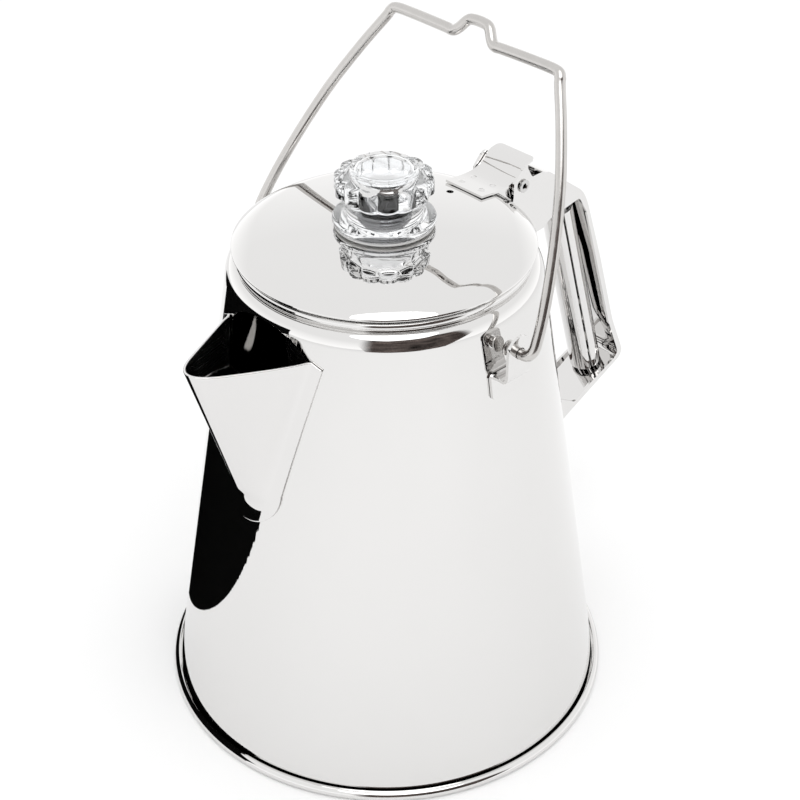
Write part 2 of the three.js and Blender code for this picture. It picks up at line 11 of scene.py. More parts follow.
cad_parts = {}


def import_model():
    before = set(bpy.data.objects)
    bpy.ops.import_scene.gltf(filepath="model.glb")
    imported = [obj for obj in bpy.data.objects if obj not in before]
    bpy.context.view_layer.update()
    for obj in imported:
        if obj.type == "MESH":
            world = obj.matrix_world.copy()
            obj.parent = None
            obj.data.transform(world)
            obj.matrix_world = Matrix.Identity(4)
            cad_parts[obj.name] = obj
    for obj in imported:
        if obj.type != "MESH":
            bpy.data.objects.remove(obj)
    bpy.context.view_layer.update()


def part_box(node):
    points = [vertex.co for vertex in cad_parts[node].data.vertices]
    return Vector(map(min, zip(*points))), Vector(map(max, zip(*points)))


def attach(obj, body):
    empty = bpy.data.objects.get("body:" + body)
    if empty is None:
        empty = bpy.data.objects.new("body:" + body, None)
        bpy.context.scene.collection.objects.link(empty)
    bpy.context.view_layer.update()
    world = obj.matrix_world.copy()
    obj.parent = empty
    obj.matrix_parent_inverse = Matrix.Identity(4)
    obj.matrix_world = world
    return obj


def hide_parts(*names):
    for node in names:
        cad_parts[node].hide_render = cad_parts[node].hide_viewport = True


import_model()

MM = 0.001


def size_mm(node):
    """Lowest and highest corner of a CAD node, in millimetres."""
    low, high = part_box(node)
    return low / MM, high / MM


# ---------------------------------------------------------------- places taken from the frame
BASE_HIGH = size_mm("base_pan")[1]
BODY_LOW = size_mm("body_shell")[0]
HANDLE_HIGH = size_mm("handle_channel")[1]
PIN_HIGH = size_mm("hinge_pin")[1]
CAP_LOW, CAP_HIGH = size_mm("lid_cap")
SLEEVE_LOW, SLEEVE_HIGH = size_mm("lid_sleeve")
COLLAR_LOW, COLLAR_HIGH = size_mm("knob_collar")
WASHER_LOW, WASHER_HIGH = size_mm("knob_washer")
KNOB_LOW, KNOB_HIGH = size_mm("knob_dome")
TUBE_LOW, TUBE_HIGH = size_mm("pump_tube")
FOOT_LOW, FOOT_HIGH = size_mm("pump_foot")
STOP_LOW, STOP_HIGH = size_mm("stop_collar")
BASKET_LOW, BASKET_HIGH = size_mm("basket_cup")
HUB_LOW, HUB_HIGH = size_mm("basket_hub")
SPREADER_LOW, SPREADER_HIGH = size_mm("spreader")

# ---------------------------------------------------------------- driving sizes
SHEET = 1.2  # thickness of the pot's and the lid's sheet
GAP = 0.3  # between a welded piece and the wall
SIDES = 192  # round a turned piece
WALL_SLOPE = -0.1555  # change of radius with height
WALL_R0 = 121.38  # radius of the wall's cone at z = 0
WALL_NORMAL = (0.988, 0.154)  # straight out of the wall: outwards, up
SHOULDER_Z = 258.0  # where the cone starts to turn in
NECK = (74.5, 266.1)  # radius and height of the shoulder's top
RIM = (73.6, 268.3, 2.2)  # radius, height and half thickness of the rolled rim
DOME_R = 504.5  # radius of the lid's dome
SEAM_BEAD = 2.8  # half thickness of the rolled bottom seam
HINGE = (86.8, 277.7)  # x and z of the lid's pin
PIN_HOLE_R = 2.9
BAIL_Z = 249.0  # height of the bail's axis
BAIL_TILT = math.radians(28.4)
WIRE_R = 2.8


# ---------------------------------------------------------------- mesh helpers
def new_object(name, verts, faces):
    """Mesh object from points in millimetres."""
    mesh = bpy.data.meshes.new(name)
    mesh.from_pydata([Vector(v) * MM for v in verts], [], faces)
    made = bpy.data.objects.new(name, mesh)
    bpy.context.scene.collection.objects.link(made)
    clean(made)
    return made


def clean(obj):
    """Merges doubled vertices and points the faces out."""
    work = bmesh.new()
    work.from_mesh(obj.data)
    bmesh.ops.remove_doubles(work, verts=work.verts, dist=2e-6)
    bmesh.ops.dissolve_degenerate(work, edges=work.edges, dist=1e-6)
    bmesh.ops.recalc_face_normals(work, faces=work.faces)
    work.to_mesh(obj.data)
    work.free()


def bake_modifiers(obj):
    """Replaces the object's mesh by what its modifiers make of it."""
    graph = bpy.context.evaluated_depsgraph_get()
    graph.update()
    made = bpy.data.meshes.new_from_object(obj.evaluated_get(graph))
    obj.modifiers.clear()
    old = obj.data
    obj.data = made
    bpy.data.meshes.remove(old)


def boolean(obj, cutter, operation="DIFFERENCE"):
    modifier = obj.modifiers.new("cut", "BOOLEAN")
    modifier.operation = operation
    modifier.solver = "MANIFOLD"
    modifier.object = cutter
    bake_modifiers(obj)
    bpy.data.objects.remove(cutter)
    return obj


def bevel(obj, width, segments=2, angle=40):
    """Rounds the edges that are sharper than an angle."""
    modifier = obj.modifiers.new("edge", "BEVEL")
    modifier.width = width * MM
    modifier.segments = segments
    modifier.limit_method = "ANGLE"
    modifier.angle_limit = math.radians(angle)
    modifier.use_clamp_overlap = True
    modifier.miter_outer = "MITER_ARC"
    bake_modifiers(obj)
    return obj


def shade(obj, angle=32):
    """Smooth shading with sharp creases kept and the large flats dominating the normals."""
    obj.data.shade_smooth()
    obj.data.set_sharp_from_angle(angle=math.radians(angle))
    modifier = obj.modifiers.new("normals", "WEIGHTED_NORMAL")
    modifier.keep_sharp = True
    modifier.weight = 80
    bake_modifiers(obj)
    return obj


def join(first, *others):
    """One object from several that belong to one pressed piece."""
    work = bmesh.new()
    for obj in (first, *others):
        work.from_mesh(obj.data)
    work.to_mesh(first.data)
    work.free()
    for obj in others:
        bpy.data.objects.remove(obj)
    return first


def arc(cx, cy, rx, ry, start, end, steps):
    """Points of an elliptic arc, angles in degrees from the first axis."""
    turns = [math.radians(start + (end - start) * i / steps) for i in range(steps + 1)]
    return [(cx + rx * math.cos(a), cy + ry * math.sin(a)) for a in turns]


def turned(name, outline, sides=SIDES, radius=None):
    """Solid turned about Z from a closed [radius, height] outline.
    radius(r, z, angle, index) may change a point's radius on its way round."""
    count = len(outline)
    verts, faces = [], []
    for s in range(sides):
        a = 2 * math.pi * s / sides
        for i, (r, z) in enumerate(outline):
            r_here = radius(r, z, a, i) if radius else r
            verts.append((r_here * math.cos(a), r_here * math.sin(a), z))
    for s in range(sides):
        t = (s + 1) % sides
        for i in range(count):
            j = (i + 1) % count
            if outline[i][0] == 0 and outline[j][0] == 0:
                continue
            faces.append((s * count + i, t * count + i, t * count + j, s * count + j))
    return new_object(name, verts, faces)


def grid(name, rows):
    """Open sheet through rows of points."""
    wide = len(rows[0])
    verts = [p for row in rows for p in row]
    faces = [
        (r * wide + c, r * wide + c + 1, (r + 1) * wide + c + 1, (r + 1) * wide + c)
        for r in range(len(rows) - 1)
        for c in range(wide - 1)
    ]
    return new_object(name, verts, faces)


def thicken(obj, thick):
    """Gives an open sheet its thickness, inwards."""
    modifier = obj.modifiers.new("sheet", "SOLIDIFY")
    modifier.thickness = thick * MM
    modifier.offset = -1.0
    modifier.use_even_offset = True
    bake_modifiers(obj)
    return obj


def prism(name, outline, low, high, axis):
    """Block with an outline across one axis: 'x' takes (y, z), 'y' takes (x, z), 'z' takes (x, y)."""
    place = {
        "x": lambda p, d: (d, p[0], p[1]),
        "y": lambda p, d: (p[0], d, p[1]),
        "z": lambda p, d: (p[0], p[1], d),
    }[axis]
    count = len(outline)
    verts = [place(p, low) for p in outline] + [place(p, high) for p in outline]
    sides = [(i, (i + 1) % count, count + (i + 1) % count, count + i) for i in range(count)]
    return new_object(name, verts, [tuple(range(count)), tuple(range(count, 2 * count)), *sides])


def rod(name, centre, radius, low, high, axis, sides=40):
    """Round bar along an axis, its centre given across that axis as prism takes it."""
    turns = [2 * math.pi * i / sides for i in range(sides)]
    outline = [(centre[0] + radius * math.cos(a), centre[1] + radius * math.sin(a)) for a in turns]
    return prism(name, outline, low, high, axis)


def rounded_path(points, radius, steps=6):
    """Polyline with each inner corner replaced by an arc-like curve."""
    made = [Vector(points[0])]
    for before, corner, after in zip(points, points[1:], points[2:]):
        corner = Vector(corner)
        to_before, to_after = Vector(before) - corner, Vector(after) - corner
        reach = min(radius, to_before.length / 2.05, to_after.length / 2.05)
        start = corner + to_before.normalized() * reach
        end = corner + to_after.normalized() * reach
        for i in range(steps + 1):
            t = i / steps
            made.append(start * (1 - t) ** 2 + corner * 2 * t * (1 - t) + end * t**2)
    made.append(Vector(points[-1]))
    return made


def offset_path(path, distance):
    """The path moved sideways to its left by a distance."""
    made = []
    for i, point in enumerate(path):
        along = (path[min(i + 1, len(path) - 1)] - path[max(i - 1, 0)]).normalized()
        made.append(point + Vector((-along.y, along.x)) * distance)
    return made


def catmull_rom(points, per_span):
    """Smooth curve through points, spaced evenly within each span."""
    points = [Vector(p) for p in points]
    ends = [points[0] * 2 - points[1], *points, points[-1] * 2 - points[-2]]
    made = []
    for p0, p1, p2, p3 in zip(ends, ends[1:], ends[2:], ends[3:]):
        for i in range(per_span):
            t = i / per_span
            made.append(
                0.5 * (2 * p1 + (p2 - p0) * t + (2 * p0 - 5 * p1 + 4 * p2 - p3) * t**2
                       + (3 * p1 - p0 - 3 * p2 + p3) * t**3)
            )
    made.append(points[-1])
    return made


def sweep(name, path, radius, sides=28):
    """Round wire along a path, with closed ends."""
    verts, faces = [], []
    side = Vector((1, 0, 0))
    for i, point in enumerate(path):
        along = (path[min(i + 1, len(path) - 1)] - path[max(i - 1, 0)]).normalized()
        side = (side - along * side.dot(along)).normalized()
        up = along.cross(side)
        for s in range(sides):
            a = 2 * math.pi * s / sides
            verts.append(point + side * (radius * math.cos(a)) + up * (radius * math.sin(a)))
    for i in range(len(path) - 1):
        for s in range(sides):
            t = (s + 1) % sides
            faces.append((i * sides + s, i * sides + t, (i + 1) * sides + t, (i + 1) * sides + s))
    faces.append(tuple(range(sides)))
    faces.append(tuple((len(path) - 1) * sides + s for s in range(sides)))
    return new_object(name, verts, faces)


def wall_radius(z):
    """Outer radius of the cone at a height."""
    return WALL_R0 + WALL_SLOPE * z


def shoulder(beyond=0.0, steps=20):
    """Outline of the elliptic turn from the cone to the neck, moved outwards by a distance."""
    rise, run, low = 10.5, 6.945, 255.6
    start = math.degrees(math.asin((SHOULDER_Z - low) / rise))
    made = []
    for i in range(steps + 1):
        a = math.radians(start + (90 - start) * i / steps)
        r, z = NECK[0] + run * math.cos(a), low + rise * math.sin(a)
        normal = Vector((math.cos(a) / run, math.sin(a) / rise)).normalized()
        made.append((r + normal.x * beyond, z + normal.y * beyond))
    made[0] = (wall_radius(SHOULDER_Z) + beyond * WALL_NORMAL[0], SHOULDER_Z + beyond * WALL_NORMAL[1])
    return made


def wall_block(beyond):
    """Solid that fills the pot out to a distance beyond its wall."""
    outline = [(0, -10), (wall_radius(-10) + beyond, -10), *shoulder(beyond), (0, NECK[1] + beyond)]
    return turned("wall_block", outline)


def wall_patch(name, half, low, high, thick, side_axis="x", sign=1, steps=24):
    """Curved plate on the outside of the wall, centred on an axis, from one height to another."""
    rows = []
    for beyond in (GAP, GAP + thick):
        for z in (low, high):
            rows.append([])
            for i in range(steps + 1):
                across = -half + 2 * half * i / steps
                r = wall_radius(z) + beyond
                out = sign * math.sqrt(r * r - across * across)
                rows[-1].append((out, across, z) if side_axis == "x" else (across, out, z))
    inner_low, inner_high, outer_low, outer_high = rows
    loop = [inner_low, inner_high, outer_high, outer_low]
    verts = [p for row in loop for p in row]
    wide = steps + 1
    faces = []
    for r in range(4):
        n = (r + 1) % 4
        faces += [(r * wide + c, r * wide + c + 1, n * wide + c + 1, n * wide + c) for c in range(steps)]
    faces.append(tuple(r * wide for r in range(4)))
    faces.append(tuple(r * wide + steps for r in range(4)))
    return new_object(name, verts, faces)


# ---------------------------------------------------------------- materials
class Nodes:
    """Small wrapper that makes shader nodes and links in one line each."""

    def __init__(self, name):
        self.material = bpy.data.materials.new(name)
        self.material.use_nodes = True
        self.tree = self.material.node_tree
        self.tree.nodes.clear()
        self.output = self.tree.nodes.new("ShaderNodeOutputMaterial")
        self.shader = self.tree.nodes.new("ShaderNodeBsdfPrincipled")
        self.link(self.shader.outputs[0], self.output.inputs["Surface"])

    def node(self, kind, inputs=None, **settings):
        made = self.tree.nodes.new(kind)
        for key, value in settings.items():
            setattr(made, key, value)
        for key, value in (inputs or {}).items():
            if isinstance(value, bpy.types.NodeSocket):
                self.link(value, made.inputs[key])
            else:
                made.inputs[key].default_value = value
        return made

    def link(self, source, target):
        self.tree.links.new(source, target)

    def coordinates(self, scale=(1, 1, 1)):
        """Object coordinates stretched by a factor along each axis."""
        place = self.node("ShaderNodeTexCoord")
        return self.node("ShaderNodeMapping", {"Vector": place.outputs["Object"], "Scale": scale}).outputs[0]

    def noise(self, vector, scale, detail=3.0, roughness=0.5):
        made = self.node(
            "ShaderNodeTexNoise",
            {"Vector": vector, "Scale": scale, "Detail": detail, "Roughness": roughness},
        )
        return made.outputs["Fac"]

    def spread(self, value, low, high):
        """A 0 to 1 value taken to a range."""
        made = self.node(
            "ShaderNodeMapRange",
            {"Value": value, "From Min": 0.25, "From Max": 0.75, "To Min": low, "To Max": high},
        )
        return made.outputs[0]

    def colours(self, value, first, second):
        made = self.node("ShaderNodeMix", data_type="RGBA")
        self.link(value, made.inputs["Factor"])
        made.inputs["A"].default_value = (*first, 1)
        made.inputs["B"].default_value = (*second, 1)
        return made.outputs["Result"]

    def bump(self, height, strength, distance):
        made = self.node("ShaderNodeBump", {"Height": height, "Strength": strength, "Distance": distance})
        self.link(made.outputs[0], self.shader.inputs["Normal"])


def polished_steel(name, low, high, tint, grain=(1, 1, 90)):
    """Mirror steel: faint polishing lines round the piece, cloudy smears and tiny waves in the sheet."""
    m = Nodes(name)
    lines = m.noise(m.coordinates(grain), 6.0, 4.0, 0.6)
    smears = m.noise(m.coordinates(), 14.0, 3.0)
    waves = m.noise(m.coordinates(), 22.0, 1.0)
    darker = tuple(c * 0.975 for c in tint)
    m.link(m.colours(smears, tint, darker), m.shader.inputs["Base Color"])
    m.shader.inputs["Metallic"].default_value = 1.0
    both = m.node("ShaderNodeMath", {0: lines, 1: smears}, operation="MULTIPLY").outputs[0]
    m.link(m.spread(both, low, high), m.shader.inputs["Roughness"])
    height = m.node("ShaderNodeMath", {0: waves, 1: lines, 2: 0.02}, operation="MULTIPLY_ADD").outputs[0]
    m.bump(height, 0.02, 0.0006)
    return m.material


def satin_steel():
    """Unpolished inner steel with drawn rings."""
    m = Nodes("satin_steel")
    lines = m.noise(m.coordinates((2, 2, 160)), 8.0, 5.0, 0.65)
    spots = m.noise(m.coordinates(), 30.0, 4.0)
    m.link(m.colours(spots, (0.66, 0.655, 0.65), (0.58, 0.575, 0.57)), m.shader.inputs["Base Color"])
    m.shader.inputs["Metallic"].default_value = 1.0
    m.link(m.spread(lines, 0.2, 0.36), m.shader.inputs["Roughness"])
    m.bump(lines, 0.06, 0.0004)
    return m.material


def wire_steel():
    """Drawn wire: fine grain and small rub marks."""
    m = Nodes("wire_steel")
    grain = m.noise(m.coordinates((60, 60, 14)), 9.0, 4.0)
    marks = m.noise(m.coordinates(), 60.0, 5.0, 0.7)
    m.link(m.colours(marks, (0.63, 0.615, 0.6), (0.5, 0.485, 0.47)), m.shader.inputs["Base Color"])
    m.shader.inputs["Metallic"].default_value = 1.0
    m.link(m.spread(grain, 0.14, 0.26), m.shader.inputs["Roughness"])
    m.bump(marks, 0.12, 0.0003)
    return m.material


def clear_plastic():
    """Moulded clear plastic with a faint flow texture."""
    m = Nodes("clear_plastic")
    flow = m.noise(m.coordinates((1, 1, 3)), 40.0, 2.0)
    m.link(m.colours(flow, (0.985, 0.99, 0.995), (0.955, 0.965, 0.975)), m.shader.inputs["Base Color"])
    m.link(m.spread(flow, 0.0, 0.025), m.shader.inputs["Roughness"])
    m.shader.inputs["Transmission Weight"].default_value = 1.0
    m.shader.inputs["IOR"].default_value = 1.49
    m.bump(flow, 0.03, 0.0005)
    return m.material


def silicone():
    m = Nodes("washer_silicone")
    cloud = m.noise(m.coordinates(), 80.0, 3.0)
    m.link(m.colours(cloud, (0.86, 0.86, 0.85), (0.78, 0.78, 0.77)), m.shader.inputs["Base Color"])
    m.link(m.spread(cloud, 0.35, 0.5), m.shader.inputs["Roughness"])
    m.shader.inputs["Transmission Weight"].default_value = 0.35
    m.bump(cloud, 0.05, 0.0003)
    return m.material


MIRROR = polished_steel("polished_steel", 0.015, 0.06, (0.76, 0.753, 0.745))
FORMED = polished_steel("formed_steel", 0.02, 0.08, (0.755, 0.747, 0.74), (40, 1, 1))
HARDWARE = polished_steel("hardware_steel", 0.06, 0.14, (0.62, 0.615, 0.61), (30, 30, 30))
DARK = polished_steel("threaded_steel", 0.08, 0.2, (0.2, 0.2, 0.205), (30, 30, 30))
SATIN = satin_steel()
WIRE = wire_steel()
CLEAR = clear_plastic()
SILICONE = silicone()


def stand_for(obj, node, body, material, angle=32):
    """Shades a finished piece and lets it stand for its CAD node."""
    shade(obj, angle)
    obj.data.materials.clear()
    obj.data.materials.append(material)
    for polygon in obj.data.polygons:
        polygon.material_index = 0
    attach(obj, body)
    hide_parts(node)
    return obj


# ---------------------------------------------------------------- pot
def base():
    """Bottom disc with two pressed ribs and the rolled seam round it."""
    r = BASE_HIGH.x - SEAM_BEAD
    bead = arc(r, SEAM_BEAD, SEAM_BEAD, SEAM_BEAD, -90, 100, 20)
    ribs = []
    for rib_r in (96, 60):
        ribs += [(rib_r - 4, 0), (rib_r - 3, 0.5), (rib_r + 3, 0.5), (rib_r + 4, 0)]
    under = [(0, 0.35), (40, 0.35), (44, 0), *sorted(ribs), (112, 0)]
    inner = [(r - 0.5, SEAM_BEAD * 2 - 0.5), (r - 0.5, 1.3), (0, 1.3)]
    return turned("base_rolled", [*under, *bead, *inner], 256)


def body():
    """Cone, shoulder and rolled rim, with the pouring window and the strainer holes behind the spout."""
    foot = BODY_LOW.z
    outer = [(wall_radius(foot), foot), (wall_radius(foot + 4), foot + 4), *shoulder()]
    bead = arc(RIM[0], RIM[1], RIM[2], RIM[2], -62, 242, 24)
    inner = [*reversed(shoulder(-SHEET)), (wall_radius(foot) - SHEET, foot)]
    shell = turned("body_spun", [*outer, *bead, *inner], 256)
    half, straight, top, sill = 28.5, 244.5, 261.0, 24.5
    arch = arc(0, straight, half, top - straight, 0, 180, 24)
    boolean(shell, prism("window", [(-sill, 224), (sill, 224), *arch], -120, -50, "x"))
    bevel(shell, 0.4, 3, 60)
    holes = None
    for row in range(5):
        count = 2 + row if row < 2 else 3 + row % 2
        for i in range(count):
            hole = rod("hole", ((i - (count - 1) / 2) * 9, 172 + row * 9), 1.9, -125, -65, "x", 20)
            holes = join(holes, hole) if holes else hole
    return boolean(shell, holes)


def spout():
    """Folded V with a rounded nose, laid on the wall by a flange that turns round the toe.
    Its rim rises a little towards the nose; levels run from the rim (0) to the bend of the toe (1)."""
    wall_top, nose_top, bend_z = 249.6, 251.5, 172.0
    top_half, bend_half, flange = 31.0, 16.4, 5.5
    nose, nose_slope, flange_drop = 128.6, 0.3195, 3.0
    beyond = GAP + SHEET
    levels, across, turns = 60, 40, 32

    def nose_out(z):
        """How far the nose stands out from the axis at a height."""
        return nose - nose_slope * (nose_top - z)

    def profile(t, half, level):
        """Share of the nose's height at a share t of the half width: round nose, flat side, soft foot."""
        round_nose = (12.5 - 8.5 * level) / half
        foot = min(0.5, (3.0 + 4.5 * level) / half)
        if t >= 1:
            return 0.0
        if t < round_nose:
            side = 1 - round_nose / 2 - t * t / (2 * round_nose)
        elif t > 1 - foot:
            side = (1 - t) ** 2 * (2 * foot - (1 - t)) / foot**2
        else:
            side = 1 - t
        return side / (1 - round_nose / 2)

    def place(y, wall_z, nose_z, share):
        z = wall_z + (nose_z - wall_z) * share**2
        out = math.sqrt((wall_radius(z) + beyond) ** 2 - y * y)
        lift = max(nose_out(z) - wall_radius(z) - beyond, 0.0) * share
        return (-out - lift, y, z)

    rows = []
    for i in range(levels + 1):
        level = i / levels
        wall_z = wall_top + (bend_z - wall_top) * level
        nose_z = nose_top + (bend_z - nose_top) * level
        half = top_half + (bend_half - top_half) * level
        row = []
        for j in range(-across - 8, across + 9):
            t, out = min(abs(j) / across, 1.0), flange * max(0, abs(j) - across) / 8
            drop = flange_drop * out / flange * (1 - level)
            y = math.copysign(half * t + out, j)
            row.append(place(y, wall_z - drop, nose_z, profile(t, half, level)))
        rows.append(row)
    toe = []
    for i in range(turns + 1):
        a = math.pi * i / turns
        row = []
        for j in range(across + 9):
            t, out = min(j / across, 1.0), flange * max(0, j - across) / 8
            d = bend_half * t + out
            z = bend_z - d * math.sin(a)
            row.append(place(d * math.cos(a), z, z, profile(t, bend_half, 1.0)))
        toe.append(row)
    shell = join(grid("spout_folded", rows), grid("toe", toe))
    clean(shell)
    thicken(shell, SHEET)
    return bevel(shell, 0.35, 2, 60)


# ---------------------------------------------------------------- handle and grip
WEB = [
    (103.9, 279.4), (107.5, 278.6), (136.5, 256.6), (141, 248.8), (156.5, 206), (172.1, 158), (183.9, 131.5),
    (182, 127), (134, 105.5), (104, 88.6),
]
FLANGE_EDGE = [
    (99, 128), (112, 131), (131, 119.4), (142.5, 112.4), (158, 120.6), (176.5, 127.6), (180, 131.4),
    (168.9, 157), (153.3, 205), (141.3, 241), (134, 253), (119.4, 250.4), (109.5, 249), (105.5, 245.5),
    (99, 245.2), (78, 240), (78, 268), (79.6, 272), (79.6, 281),
]
LOBE = [(84.4, 286.2), (87, 288), (89.6, 287.4), (93.6, 280.6), (96.4, 279.4)]


def handle():
    """Pressed channel: rounded web, side flanges that end in the hinge cheeks, and two tabs on the wall."""
    half, sheet, bend = HANDLE_HIGH.y, 1.5, 2.6
    web = rounded_path(WEB, 5.0, 7)
    outline = [*web, *rounded_path(FLANGE_EDGE, 2.2, 3), *rounded_path(LOBE, 2.0, 4)]
    block = prism("handle_pressed", outline, -half, half, "y")
    edges_of_web = {(round(p.x, 3), round(p.y, 3)) for p in web}
    work = bmesh.new()
    work.from_mesh(block.data)
    chosen = []
    for edge in work.edges:
        a, b = (v.co / MM for v in edge.verts)
        keys = [(round(v.x, 3), round(v.z, 3)) for v in (a, b)]
        if abs(a.y - b.y) < 0.01 and all(k in edges_of_web for k in keys):
            chosen.append(edge)
    bmesh.ops.bevel(
        work, geom=chosen, offset=bend * MM, segments=6, profile=0.5, affect="EDGES", clamp_overlap=True
    )
    work.to_mesh(block.data)
    work.free()
    inner_web = offset_path(web, -sheet)
    inner = [*inner_web, (96, 60), (40, 60), (40, 310), (103.9, 310), (103.9, 285)]
    boolean(block, prism("hollow", inner, -half + sheet, half - sheet, "y"))
    boolean(block, wall_block(GAP))
    boolean(block, rod("pin_hole", HINGE, PIN_HOLE_R, -20, 20, "y"))
    bevel(block, 0.3, 2, 50)
    inside = half - sheet + 0.4
    tabs = [
        wall_patch("tab", inside, 241.5, 256.5, sheet),
        wall_patch("tab", inside, 92, 122, sheet),
    ]
    return join(block, *[bevel(t, 0.3) for t in tabs])


def grip(name, first, last):
    """Half of the rolled grip, its long edges turned in slightly at the seam."""
    low, top = Vector((167.6, 0, 124.9)), Vector((132.1, 0, 243))
    outer_r, sheet = 9.2, 1.2
    along = (top - low).normalized()
    out = Vector((along.z, 0, -along.x))
    side = Vector((0, 1, 0))
    section = []
    for i in range(29):
        a = math.radians(first + (last - first) * i / 28)
        fade = min(i, 28 - i) / 3
        r = outer_r - 0.35 * max(0.0, 1 - fade) ** 2
        section.append((r * math.cos(a), r * math.sin(a)))
    shrink = (outer_r - sheet) / outer_r
    inside = [(x * shrink, y * shrink) for x, y in reversed(section)]
    loop = section + inside
    rows = []
    steps = 40
    for i in range(steps + 1):
        t = i / steps
        centre = low.lerp(top, t)
        rows.append([centre + out * u + side * v for u, v in loop])
    wide = len(loop)
    verts = [p for row in rows for p in row]
    faces = [
        (r * wide + c, r * wide + (c + 1) % wide, (r + 1) * wide + (c + 1) % wide, (r + 1) * wide + c)
        for r in range(steps)
        for c in range(wide)
    ]
    half = len(section)
    for r in (0, steps):
        for c in range(half - 1):
            faces.append((r * wide + c, r * wide + c + 1, r * wide + wide - 2 - c, r * wide + wide - 1 - c))
    made = new_object(name, verts, faces)
    return bevel(made, 0.25, 2, 50)


def pin():
    """Tubular pin with rolled heads."""
    bore, r, head, thick = 1.4, 2.6, 3.6, 0.9
    half = PIN_HIGH.y
    neck = half - thick
    rim = arc(head - 0.5, neck + 0.5, 0.5, 0.4, 0, 90, 4)
    outline = [
        (bore, -half), *[(x, -z) for x, z in reversed(rim)], (r, -neck), (r, neck), *rim,
        (bore + 0.5, half), (bore, half - 0.5), (bore, 0),
    ]
    made = turned("pin_rolled", outline, 40)
    place = Matrix.Translation((HINGE[0] * MM, 0, HINGE[1] * MM))
    made.data.transform(place @ Matrix.Rotation(math.pi / 2, 4, "X"))
    return made


# ---------------------------------------------------------------- bail
def bracket(name, sign):
    """Plate welded to the wall with a bent lug that stands off it and takes the wire's end."""
    sheet, lug_y, lug_half = 1.6, 93.8, 8.0
    low, top = 223.4, 237.0
    plate = wall_patch(name, 11.25, low, top, sheet, "y", -1)
    corner = 2.4
    outline = []
    for x, z, start in ((11.25, low, -90), (11.25, top, 0), (-11.25, top, 90), (-11.25, low, 180)):
        cx = x - math.copysign(corner, x)
        cz = z + corner if z == low else z - corner
        outline += arc(cx, cz, corner, corner, start, start + 90, 4)
    boolean(plate, prism("outline", outline, -120, -60, "y"), "INTERSECT")
    path = rounded_path(
        [(-wall_radius(232) + 1.5, 233.4), (-lug_y + 2.0, 233.4), (-lug_y, 236.5), (-lug_y, 258.5)], 2.6, 8
    )
    profile = [tuple(p) for p in path] + [tuple(p) for p in reversed(offset_path(path, -sheet))]
    lug = prism("lug", profile, -lug_half, lug_half, "x")
    top_z = 258.5
    edge = [(-lug_half, 220), (lug_half, 220), *arc(0, top_z - lug_half, lug_half, lug_half, 0, 180, 20)]
    boolean(lug, prism("lug_outline", edge, -120, -60, "y"), "INTERSECT")
    boolean(plate, lug, "UNION")
    boolean(plate, rod("hole", (0, BAIL_Z), 3.3, -110, -85, "y"))
    boolean(plate, wall_block(GAP))
    bevel(plate, 0.3, 2, 50)
    if sign > 0:
        plate.data.transform(Matrix.Rotation(math.pi, 4, "Z"))
    return plate


def bail():
    """Wire from hook to hook: side arms, square shoulders, and a hump in the middle of the top bar."""
    half = [
        (86.4, 0), (93.5, 0), (97.0, 0.2), (99.4, 1.6), (100.6, 4.6), (100.3, 9.5), (98.6, 20), (95.2, 35),
        (88.9, 57), (80, 82), (68.9, 106), (59.6, 123.5), (57.9, 127.4), (54.4, 129.8), (40, 130.1),
        (20, 129.8), (14.5, 129.6), (11.3, 131.6), (7.4, 136.7), (3.6, 138.1),
    ]
    other = [(-y, s) for y, s in reversed(half)]
    path = catmull_rom([(0, y, s) for y, s in [*half, *other]], 8)
    wire = sweep("bail_bent", path, WIRE_R)
    heads = []
    for side in (-1, 1):
        outline = [(0, -1.4), (2.4, -1.2), (3.6, -0.7), (4.1, 0), (3.9, 0.7), (0, 0.8)]
        head = turned("head", outline, 32)
        head.data.transform(
            Matrix.Translation((0, side * 86.4 * MM, 0)) @ Matrix.Rotation(math.radians(90 * side), 4, "X")
        )
        heads.append(head)
    made = join(wire, *heads)
    made.data.transform(Matrix.Translation((0, 0, BAIL_Z * MM)) @ Matrix.Rotation(BAIL_TILT, 4, "Y"))
    return made


# ---------------------------------------------------------------- lid
def dome_z(r):
    return CAP_HIGH.z + 0.2 - r * r / (2 * DOME_R)


def lid_cap():
    """Dome that rolls over at the edge into a turned-in hem."""
    r, low, roll_r = CAP_HIGH.x, CAP_LOW.z, 66.0
    slope = roll_r / DOME_R

    def roll_z(at):
        return dome_z(roll_r) - slope * (at - roll_r) - 0.03 * (at - roll_r) ** 2

    dome = [(at, dome_z(at)) for at in (14.2, 20, 26, 32, 38, 44, 50, 55, 60, 64)]
    roll = [(roll_r + i * 0.7, roll_z(roll_r + i * 0.7)) for i in range(15)]
    turn = [(r - 0.42, roll_z(r - 0.8) - 0.35), (r - 0.12, roll_z(r - 0.8) - 0.7)]
    hem = [
        (r, low + 1.0), (r - 0.3, low + 0.3), (r - 1.0, low), (r - 2.4, low), (r - 2.6, low + 0.3),
        (r - 2.4, low + 0.6), (r - 1.4, low + 0.7), (r - SHEET, low + 1.2),
    ]
    under = [(at, z - SHEET) for at, z in reversed([*dome, *roll[:-1]])]
    cap = turned("lid_spun", [*dome, *roll, *turn, *hem, *under], 256)
    return boolean(cap, rod("vent", (50.2, 3.2), 1.9, 265, 290, "z"))


def lid_sleeve():
    r, low, top = SLEEVE_HIGH.x, SLEEVE_LOW.z, SLEEVE_HIGH.z
    outline = [
        (r - 1, low), (r - 0.5, low), (r, low + 0.3), (r, top - 1.6),
        *arc(r - 1.6, top - 1.6, 1.6, 1.6, 20, 90, 5),
        (60, top), (60, top - 1), (r - 2.4, top - 1), (r - 1, top - 2.2),
    ]
    return turned("lid_sleeve_drawn", outline)


